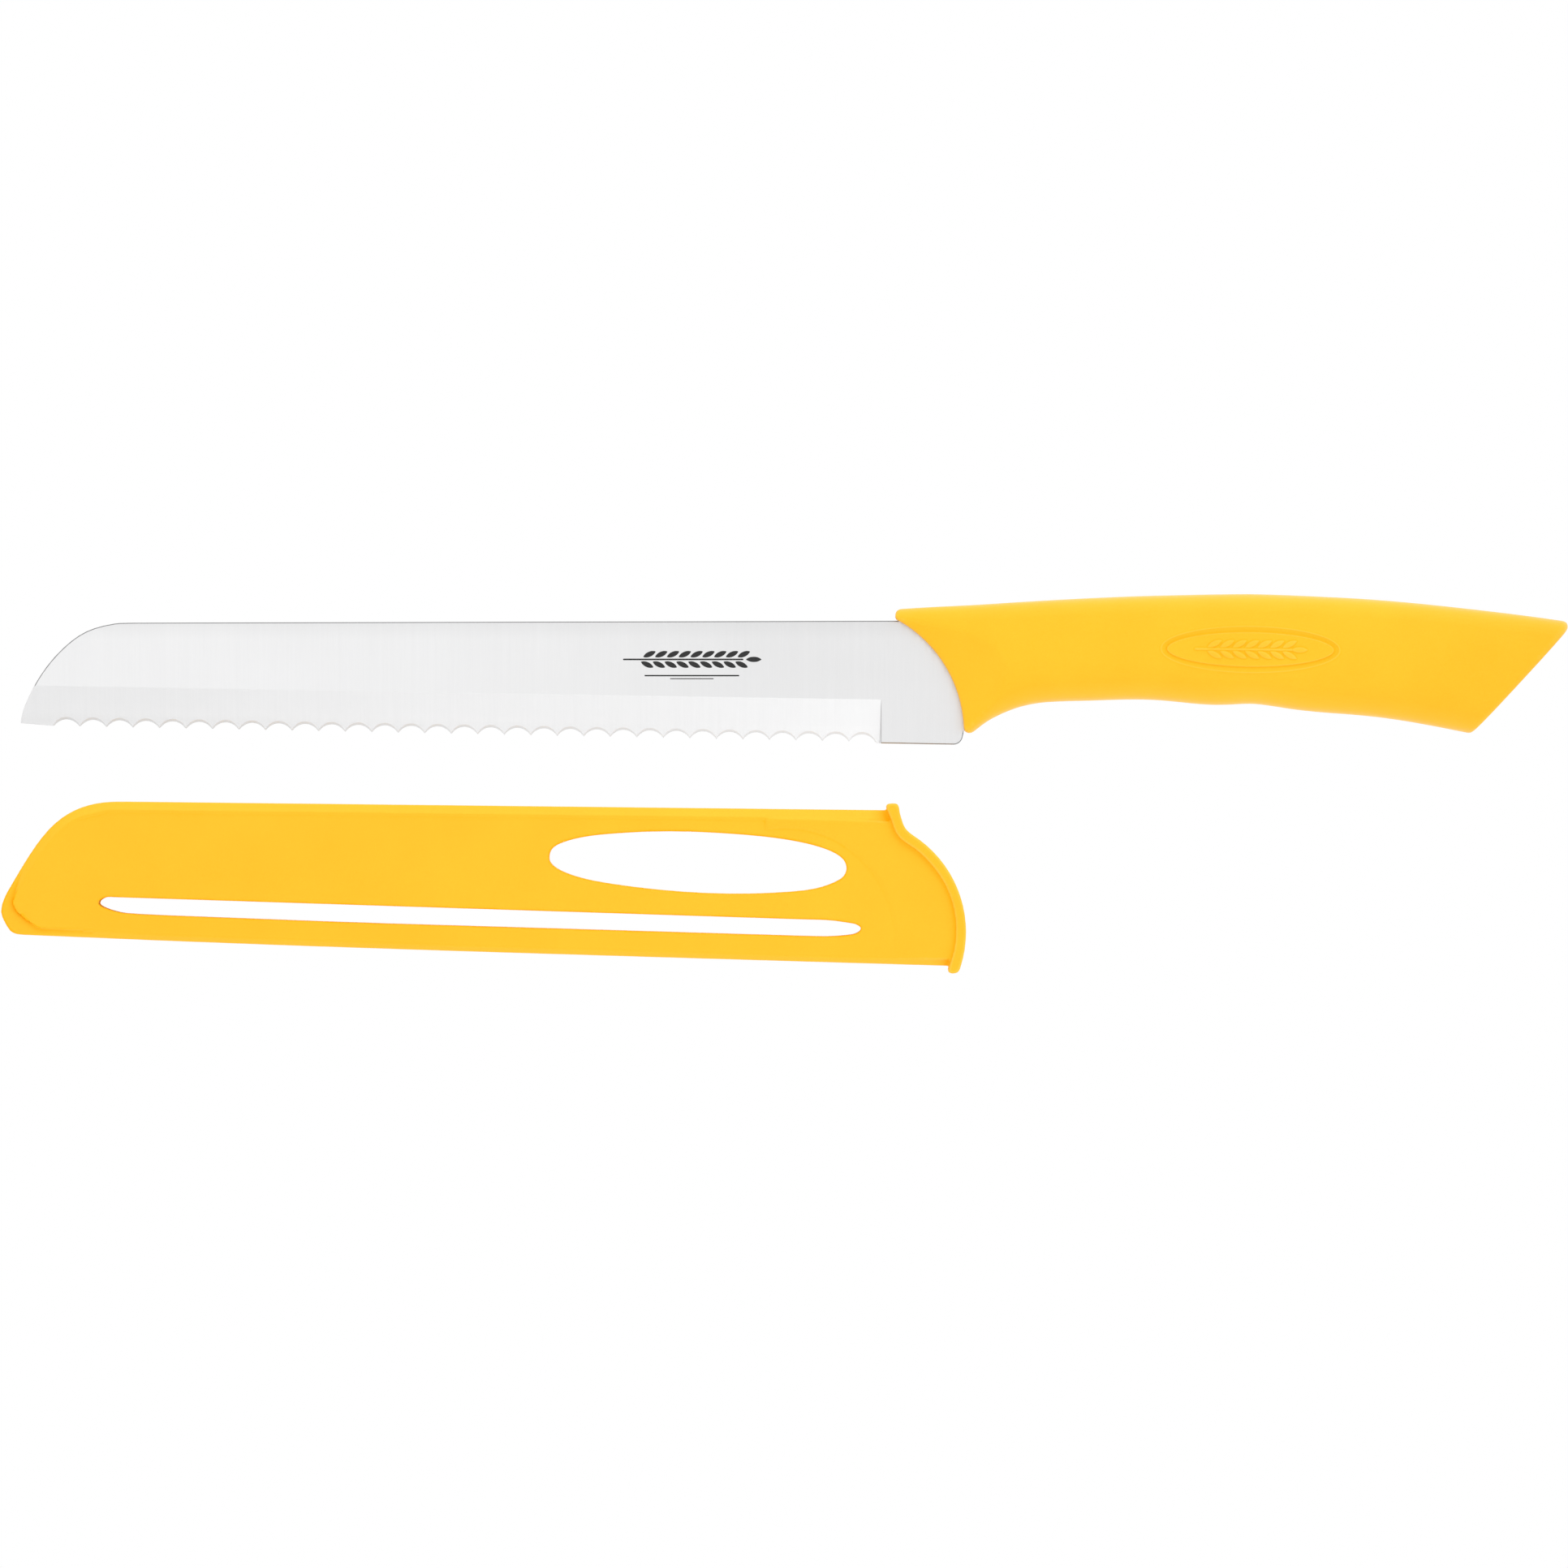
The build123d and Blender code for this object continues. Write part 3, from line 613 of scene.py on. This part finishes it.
def build_print(material):
    outlines = [bar_outline(EAR_START, EAR_END - 3.4, EAR_Z, radius=0.16)]
    for i in range(LEAF_PAIRS):
        x = LEAF_FIRST + i * (LEAF_LAST - LEAF_FIRST) / (LEAF_PAIRS - 1)
        # each upper leaf sits a little further along than the lower one
        for side, shift in ((-1, 0.0), (1, 0.45)):
            outlines.append(leaf_outline(
                x + shift, EAR_Z + side * 1.02,
                length=1.32, width=0.50, turn=side * math.radians(24),
            ))
    outlines.append(leaf_outline(EAR_END - 1.2, EAR_Z, length=1.5, width=0.52, turn=0.0))
    outlines.append(bar_outline(-52.0, -33.6, z=1.35, radius=0.14))
    outlines.append(bar_outline(-47.0, -38.6, z=0.75, radius=0.09))

    bm = bmesh.new()
    for outline in outlines:
        front, back = (
            [bm.verts.new((x * MM, y, z * MM)) for x, z in outline]
            for y in (PRINT_FRONT_Y, PRINT_BACK_Y)
        )
        bm.faces.new(front)
        bm.faces.new(back[::-1])
        for i in range(len(outline)):
            j = (i + 1) % len(outline)
            bm.faces.new((front[i], back[i], back[j], front[j]))
    bmesh.ops.recalc_face_normals(bm, faces=bm.faces)
    blade_print = add_bmesh_object("blade_print", bm)
    paint(blade_print, material)
    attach(blade_print, "knife")


# ------------------------------------------------------------------ floor, light, camera
def build_floor():
    bm = bmesh.new()
    bmesh.ops.create_circle(bm, cap_ends=True, segments=128, radius=2.5)
    floor = add_bmesh_object("floor", bm)
    floor.location = (0, 0, -0.45)
    paint(floor, make_floor_material())


def build_world():
    """A white tent, dimmer edge-on to the knife; the camera itself sees plain white."""
    world = bpy.data.worlds.new("studio")
    scene.world = world
    world.use_nodes = True
    n = Nodes(world.node_tree, "ShaderNodeOutputWorld")
    direction = n.split("TexCoord", "Generated")
    facing = n.math("ABSOLUTE", direction["Y"])
    tent = n.remap(facing, source=(0.0, 0.55), target=(0.80, 1.0))
    upper = n.remap(direction["Z"], source=(-1.0, 1.0), target=(1.03, 1.01))
    side = n.remap(direction["X"], source=(-1.0, 1.0), target=(0.86, 1.14))
    brightness = 1.22
    strength = n.multiply(tent, upper, side, brightness)
    light = n.node("Background", {"Color": WHITE, "Strength": strength})
    backdrop = n.node("Background", {"Color": WHITE, "Strength": 1.0})
    to_camera = n.node("LightPath", output="Is Camera Ray")
    n.surface(n.node("MixShader", {0: to_camera, 1: light, 2: backdrop}))


def build_key_light():
    """A soft light above the near side."""
    light = bpy.data.lights.new("key", "AREA")
    light.shape = "RECTANGLE"
    light.size = 0.9
    light.size_y = 0.5
    light.energy = 0.6
    key = add_object("key", light)
    key.location = (0.1, -0.7, 0.75)
    aim = Vector((-0.02, 0, 0))
    key.rotation_mode = "QUATERNION"
    key.rotation_quaternion = (aim - key.location).to_track_quat("-Z", "Y")
    key.visible_camera = False


def build_camera():
    """A long lens square on to the knife's near side."""
    lens = bpy.data.cameras.new("camera")
    lens.lens = 200
    lens.sensor_width = 36
    lens.clip_start = 0.05
    lens.clip_end = 50
    camera = add_object("camera", lens)
    camera.location = (-0.02464, -1.7173, -0.0200)
    camera.rotation_euler = (math.pi / 2, 0, 0)
    scene.camera = camera

    # it steps back and to the left as the sheath is drawn, to keep everything in view
    follow = camera.constraints.new("TRANSFORM")
    follow.target = frame["bodies"]["sheath"]
    follow.map_from = "LOCATION"
    follow.map_to = "LOCATION"
    follow.from_min_x = -0.19
    follow.from_max_x = 0.0
    for axis, travel in (("x", -0.094), ("y", -1.23), ("z", 0.0)):
        setattr(follow, f"map_to_{axis}_from", "X")
        setattr(follow, f"to_min_{axis}", travel)
        setattr(follow, f"to_max_{axis}", 0.0)
    follow.mix_mode = "ADD"


# ------------------------------------------------------------------ build
# each plastic below sets its strength of painted shade in corners, its painted highlight on
# upper and lower edges, and its painted shade falling off along x
grip_plastic = make_plastic(
    "soft_touch_yellow", base=(0.985, 0.500, 0.013), rough=0.62, specular=0.22, grit=4200,
    mottle=0.030, wear=0.25, sheen=0.30, painted_shade_strength=0.8, painted_highlight=0.095, painted_highlight_span=(0.45, 0.85),
    falloff_shade_span=(0.085, 0.130), falloff_shade_depth=0.095,
)
sheath_plastic = make_plastic(
    "satin_yellow", base=(0.985, 0.492, 0.011), rough=0.50, specular=0.24, grit=5200,
    mottle=0.026, wear=0.35, sheen=0.15, painted_shade_strength=1.0, painted_highlight=0.09,
    falloff_shade_span=(-0.05, -0.17), falloff_shade_depth=0.03, is_cover=True,
)
core_plastic = make_plastic(
    "core_plastic", base=(0.90, 0.46, 0.05), rough=0.55, specular=0.3, grit=3800,
    mottle=0.035, wear=0.2, sheen=0.0,
)
steel = make_steel()
ink = make_ink()

build_grip(grip_plastic)
sheath_parts = make_moulding("sheath", "sheath_moulding", voxel=0.00030, soften=5)
finish_moulding(*sheath_parts, sheath_plastic, "sheath", "sheath")
paint(cad_nodes["blade"], steel)
paint(cad_nodes["handle_core"], core_plastic)
build_print(ink)
build_floor()
build_world()
build_key_light()
scene.view_settings.view_transform = "Standard"
scene.view_settings.look = "None"
scene.view_settings.exposure = 0.0
scene.view_settings.gamma = 1.0
build_camera()
